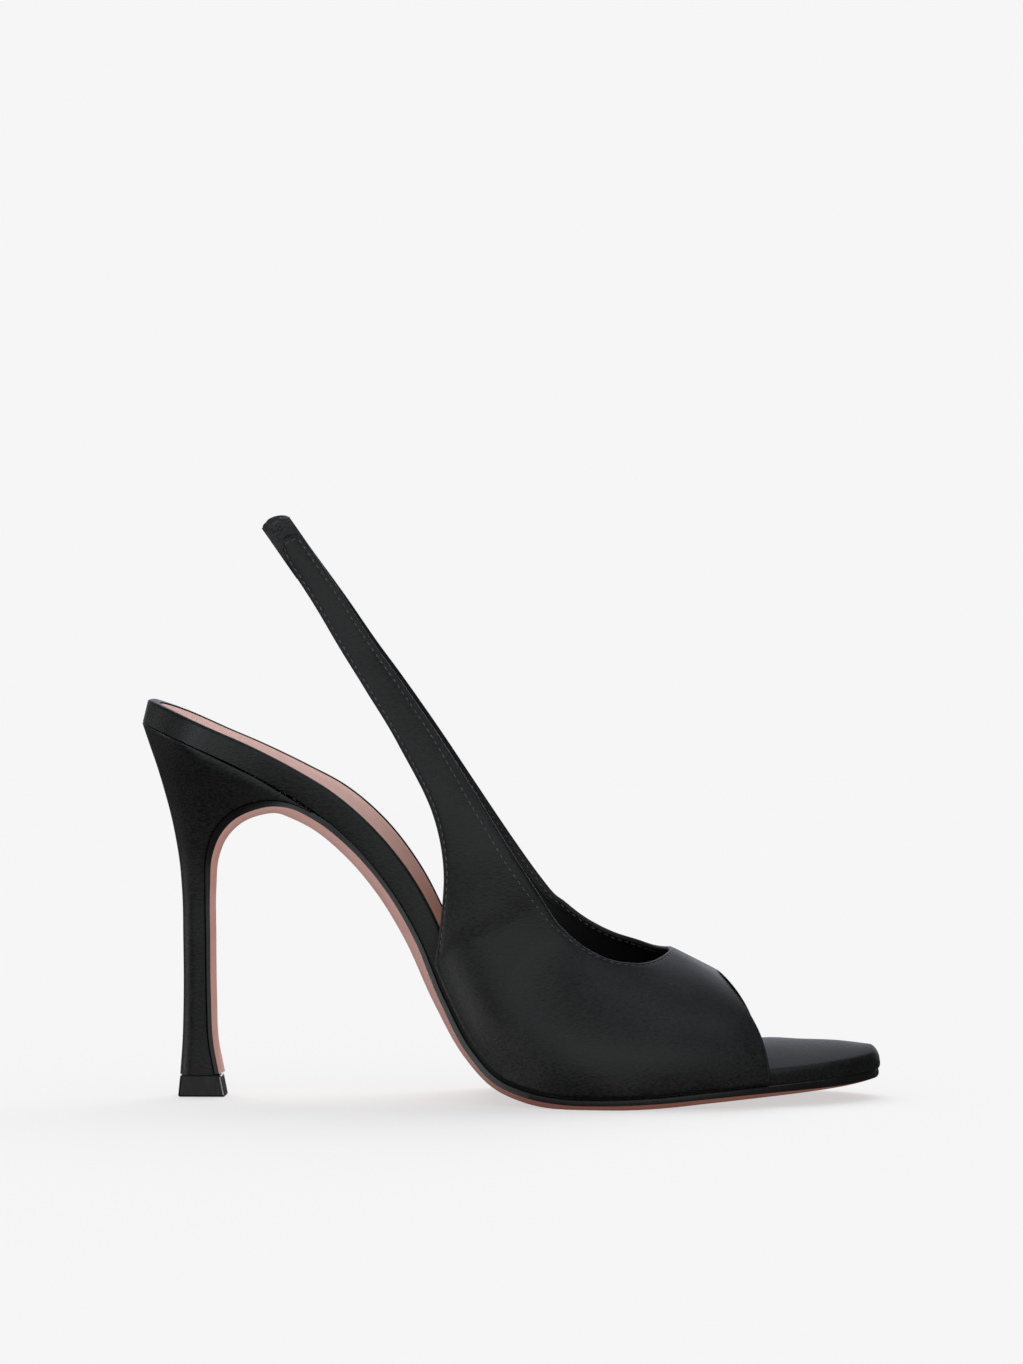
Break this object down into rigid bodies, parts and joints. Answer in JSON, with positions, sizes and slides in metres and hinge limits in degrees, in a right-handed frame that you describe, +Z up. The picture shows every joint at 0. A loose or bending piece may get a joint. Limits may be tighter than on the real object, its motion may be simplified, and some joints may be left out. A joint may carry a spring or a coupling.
{
  "type": "slingback heel",
  "caption": "Black satin peep-toe slingback shoe with a slim high heel, elastic sling, pink leather sock and pink leather outsole with a painted edge.",
  "frame": {"origin": "centre of the box on the floor, under the arch", "axes": "+X to the toe, +Y to the inner side of the foot, +Z up"},
  "size_m": [0.2016, 0.0806, 0.1589],
  "materials": {
    "sole_leather": "smooth",
    "satin": "satin",
    "sock_leather": "smooth",
    "lift_plastic": "gloss",
    "elastic": "ribbed"
  },
  "bodies": {
    "root": {"outsole": "sole_leather", "insole_board": "satin", "sock": "sock_leather", "upper": "satin", "heel": "satin", "top_lift": "lift_plastic", "back_elastic": "elastic"}
  },
  "joints": []
}
